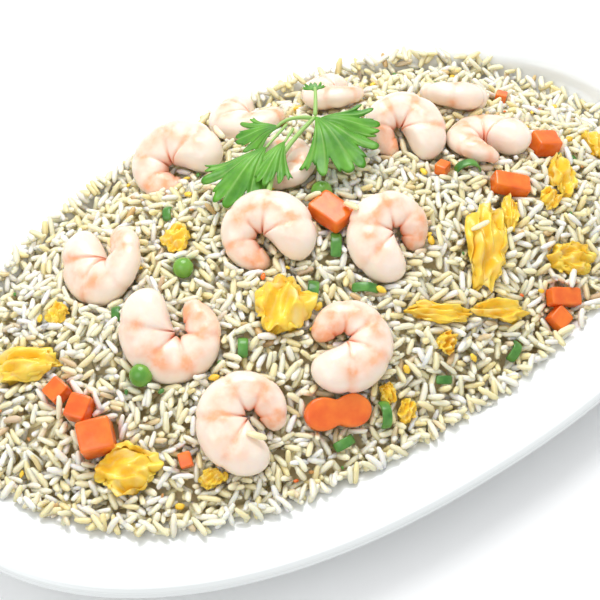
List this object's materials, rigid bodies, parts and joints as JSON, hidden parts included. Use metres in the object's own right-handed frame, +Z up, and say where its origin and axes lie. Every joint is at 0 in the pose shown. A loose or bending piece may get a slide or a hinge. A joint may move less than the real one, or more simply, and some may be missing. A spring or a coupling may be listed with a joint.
{
  "type": "shrimp fried rice on an oval platter",
  "caption": "Fried rice heaped on a white oval platter, topped with curled shrimps, peas, diced carrot, fried egg, scallion and a coriander sprig.",
  "frame": {"origin": "middle of the platter at the height of the table it stands on", "axes": "+X along the platter, +Y across it, +Z up"},
  "size_m": [0.38, 0.2414, 0.0692],
  "materials": {
    "white_glaze": "smooth glossy white glaze",
    "cooked_rice": "cooked, slightly oily rice grains",
    "shrimp_flesh": "moist cooked shrimp, pale with orange-pink bands",
    "carrot_orange": "moist cooked carrot",
    "pea_green": "smooth cooked pea skin",
    "egg_yellow": "torn fried egg",
    "scallion_green": "moist cut green onion",
    "coriander_green": "fresh leaf"
  },
  "bodies": {
    "root": {"carrot_01": "carrot_orange", "carrot_02": "carrot_orange", "carrot_03": "carrot_orange", "carrot_04": "carrot_orange", "carrot_05": "carrot_orange", "carrot_06": "carrot_orange", "carrot_07": "carrot_orange", "carrot_08": "carrot_orange", "carrot_09": "carrot_orange", "carrot_10": "carrot_orange", "carrot_11": "carrot_orange", "carrot_slice": "carrot_orange", "coriander": "coriander_green", "egg_01": "egg_yellow", "egg_02": "egg_yellow", "egg_03": "egg_yellow", "egg_04": "egg_yellow", "egg_05": "egg_yellow", "egg_06": "egg_yellow", "egg_07": "egg_yellow", "egg_08": "egg_yellow", "egg_09": "egg_yellow", "egg_10": "egg_yellow", "egg_11": "egg_yellow", "egg_12": "egg_yellow", "egg_13": "egg_yellow", "egg_14": "egg_yellow", "egg_15": "egg_yellow", "egg_16": "egg_yellow", "egg_17": "egg_yellow", "pea_01": "pea_green", "pea_02": "pea_green", "pea_03": "pea_green", "platter": "white_glaze", "rice_heap": "cooked_rice", "scallion_01": "scallion_green", "scallion_02": "scallion_green", "scallion_03": "scallion_green", "scallion_04": "scallion_green", "scallion_05": "scallion_green", "scallion_06": "scallion_green", "scallion_07": "scallion_green", "scallion_08": "scallion_green", "scallion_09": "scallion_green", "scallion_10": "scallion_green", "scallion_11": "scallion_green", "shrimp_01": "shrimp_flesh", "shrimp_02": "shrimp_flesh", "shrimp_03": "shrimp_flesh", "shrimp_04": "shrimp_flesh", "shrimp_05": "shrimp_flesh", "shrimp_06": "shrimp_flesh", "shrimp_07": "shrimp_flesh", "shrimp_08": "shrimp_flesh", "shrimp_09": "shrimp_flesh", "shrimp_10": "shrimp_flesh", "shrimp_11": "shrimp_flesh", "shrimp_12": "shrimp_flesh", "shrimp_13": "shrimp_flesh"}
  },
  "joints": []
}
